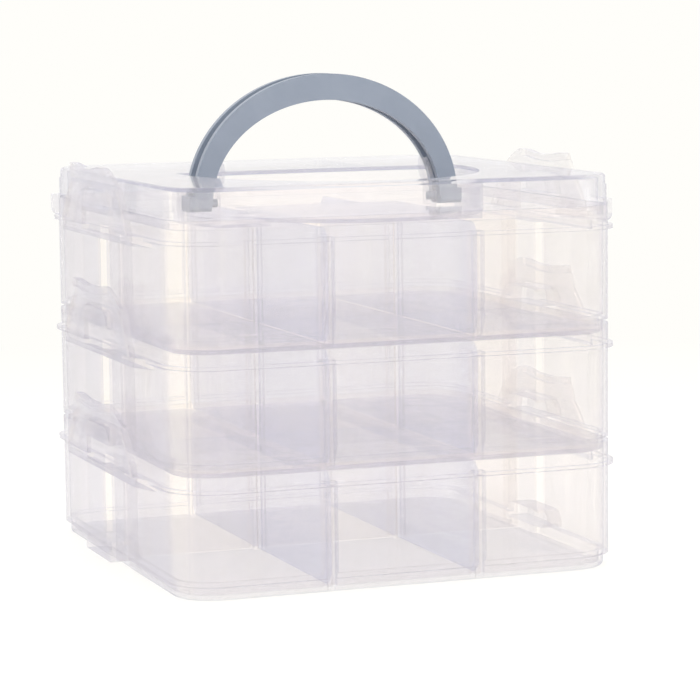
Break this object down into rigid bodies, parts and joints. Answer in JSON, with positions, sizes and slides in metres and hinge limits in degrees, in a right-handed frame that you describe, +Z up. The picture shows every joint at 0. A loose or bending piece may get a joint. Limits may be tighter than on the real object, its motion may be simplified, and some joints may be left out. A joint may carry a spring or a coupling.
{
  "type": "stackable storage box with handle",
  "caption": "Stackable clear craft box: slotted trays with loose dividers, latch flaps at both sides, and a lid with a folding handle.",
  "frame": {"origin": "middle of the underside of the bottom tray", "axes": "+Z up, front of the box towards -Y, latch flaps at +X and -X"},
  "size_m": [0.1606, 0.15, 0.1564],
  "materials": {
    "tray_plastic": "frosted translucent",
    "lid_plastic": "clear translucent",
    "divider_plastic": "frosted translucent",
    "handle_plastic": "satin"
  },
  "bodies": {
    "bottom_tray": {"bottom_tray": "tray_plastic"},
    "middle_tray": {"middle_tray": "tray_plastic"},
    "top_tray": {"top_tray": "tray_plastic"},
    "lid": {"lid": "lid_plastic"},
    "handle": {"handle": "handle_plastic"},
    "latch_bottom_right": {"latch_bottom_right": "tray_plastic"},
    "latch_bottom_left": {"latch_bottom_left": "tray_plastic"},
    "divider_bottom_front_left": {"divider_bottom_front_left": "divider_plastic"},
    "divider_bottom_front_right": {"divider_bottom_front_right": "divider_plastic"},
    "divider_bottom_rear_left": {"divider_bottom_rear_left": "divider_plastic"},
    "divider_bottom_rear_right": {"divider_bottom_rear_right": "divider_plastic"},
    "latch_middle_right": {"latch_middle_right": "tray_plastic"},
    "latch_middle_left": {"latch_middle_left": "tray_plastic"},
    "divider_middle_front_left": {"divider_middle_front_left": "divider_plastic"},
    "divider_middle_front_right": {"divider_middle_front_right": "divider_plastic"},
    "divider_middle_rear_left": {"divider_middle_rear_left": "divider_plastic"},
    "divider_middle_rear_right": {"divider_middle_rear_right": "divider_plastic"},
    "latch_top_right": {"latch_top_right": "tray_plastic"},
    "latch_top_left": {"latch_top_left": "tray_plastic"},
    "divider_top_front_left": {"divider_top_front_left": "divider_plastic"},
    "divider_top_front_right": {"divider_top_front_right": "divider_plastic"},
    "divider_top_rear_left": {"divider_top_rear_left": "divider_plastic"},
    "divider_top_rear_right": {"divider_top_rear_right": "divider_plastic"}
  },
  "joints": [
    {"name": "middle_lift", "type": "slide", "parent": "bottom_tray", "child": "middle_tray", "axis": [0, 0, 1], "range_m": [0, 0.045], "deforming": ["latch_bottom_right", "latch_bottom_left"]},
    {"name": "top_lift", "type": "slide", "parent": "middle_tray", "child": "top_tray", "axis": [0, 0, 1], "range_m": [0, 0.045], "deforming": ["latch_middle_right", "latch_middle_left"]},
    {"name": "lid_lift", "type": "slide", "parent": "top_tray", "child": "lid", "axis": [0, 0, 1], "range_m": [0, 0.045], "deforming": ["latch_top_right", "latch_top_left"]},
    {"name": "handle_fold", "type": "hinge", "parent": "lid", "child": "handle", "pos_m": [0, 0, 0.1154], "axis": [1, 0, 0], "range_deg": [0, 82]},
    {"name": "latch_bottom_right_bend", "type": "hinge", "parent": "bottom_tray", "child": "latch_bottom_right", "pos_m": [0.0774, 0, 0.0342], "axis": [0, 1, 0], "range_deg": [0, 14], "stiffness_Nm_per_rad": 0.05},
    {"name": "latch_bottom_left_bend", "type": "hinge", "parent": "bottom_tray", "child": "latch_bottom_left", "pos_m": [-0.0774, 0, 0.0342], "axis": [0, -1, 0], "range_deg": [0, 14], "stiffness_Nm_per_rad": 0.05},
    {"name": "divider_bottom_front_left_pull", "type": "slide", "parent": "bottom_tray", "child": "divider_bottom_front_left", "axis": [0, 0, 1], "range_m": [0, 0.03]},
    {"name": "divider_bottom_front_right_pull", "type": "slide", "parent": "bottom_tray", "child": "divider_bottom_front_right", "axis": [0, 0, 1], "range_m": [0, 0.03]},
    {"name": "divider_bottom_rear_left_pull", "type": "slide", "parent": "bottom_tray", "child": "divider_bottom_rear_left", "axis": [0, 0, 1], "range_m": [0, 0.03]},
    {"name": "divider_bottom_rear_right_pull", "type": "slide", "parent": "bottom_tray", "child": "divider_bottom_rear_right", "axis": [0, 0, 1], "range_m": [0, 0.03]},
    {"name": "latch_middle_right_bend", "type": "hinge", "parent": "middle_tray", "child": "latch_middle_right", "pos_m": [0.0774, 0, 0.0716], "axis": [0, 1, 0], "range_deg": [0, 14], "stiffness_Nm_per_rad": 0.05},
    {"name": "latch_middle_left_bend", "type": "hinge", "parent": "middle_tray", "child": "latch_middle_left", "pos_m": [-0.0774, 0, 0.0716], "axis": [0, -1, 0], "range_deg": [0, 14], "stiffness_Nm_per_rad": 0.05},
    {"name": "divider_middle_front_left_pull", "type": "slide", "parent": "middle_tray", "child": "divider_middle_front_left", "axis": [0, 0, 1], "range_m": [0, 0.03]},
    {"name": "divider_middle_front_right_pull", "type": "slide", "parent": "middle_tray", "child": "divider_middle_front_right", "axis": [0, 0, 1], "range_m": [0, 0.03]},
    {"name": "divider_middle_rear_left_pull", "type": "slide", "parent": "middle_tray", "child": "divider_middle_rear_left", "axis": [0, 0, 1], "range_m": [0, 0.03]},
    {"name": "divider_middle_rear_right_pull", "type": "slide", "parent": "middle_tray", "child": "divider_middle_rear_right", "axis": [0, 0, 1], "range_m": [0, 0.03]},
    {"name": "latch_top_right_bend", "type": "hinge", "parent": "top_tray", "child": "latch_top_right", "pos_m": [0.0774, 0, 0.109], "axis": [0, 1, 0], "range_deg": [0, 14], "stiffness_Nm_per_rad": 0.05},
    {"name": "latch_top_left_bend", "type": "hinge", "parent": "top_tray", "child": "latch_top_left", "pos_m": [-0.0774, 0, 0.109], "axis": [0, -1, 0], "range_deg": [0, 14], "stiffness_Nm_per_rad": 0.05},
    {"name": "divider_top_front_left_pull", "type": "slide", "parent": "top_tray", "child": "divider_top_front_left", "axis": [0, 0, 1], "range_m": [0, 0.03]},
    {"name": "divider_top_front_right_pull", "type": "slide", "parent": "top_tray", "child": "divider_top_front_right", "axis": [0, 0, 1], "range_m": [0, 0.03]},
    {"name": "divider_top_rear_left_pull", "type": "slide", "parent": "top_tray", "child": "divider_top_rear_left", "axis": [0, 0, 1], "range_m": [0, 0.03]},
    {"name": "divider_top_rear_right_pull", "type": "slide", "parent": "top_tray", "child": "divider_top_rear_right", "axis": [0, 0, 1], "range_m": [0, 0.03]}
  ],
  "couplings": [
    {"joint": "divider_bottom_front_left_pull", "follows": "middle_lift", "ratio": 0.66},
    {"joint": "divider_bottom_front_right_pull", "follows": "middle_lift", "ratio": 0.66},
    {"joint": "divider_bottom_rear_left_pull", "follows": "middle_lift", "ratio": 0.66},
    {"joint": "divider_bottom_rear_right_pull", "follows": "middle_lift", "ratio": 0.66},
    {"joint": "divider_middle_front_left_pull", "follows": "top_lift", "ratio": 0.66},
    {"joint": "divider_middle_front_right_pull", "follows": "top_lift", "ratio": 0.66},
    {"joint": "divider_middle_rear_left_pull", "follows": "top_lift", "ratio": 0.66},
    {"joint": "divider_middle_rear_right_pull", "follows": "top_lift", "ratio": 0.66},
    {"joint": "divider_top_front_left_pull", "follows": "lid_lift", "ratio": 0.66},
    {"joint": "divider_top_front_right_pull", "follows": "lid_lift", "ratio": 0.66},
    {"joint": "divider_top_rear_left_pull", "follows": "lid_lift", "ratio": 0.66},
    {"joint": "divider_top_rear_right_pull", "follows": "lid_lift", "ratio": 0.66}
  ]
}
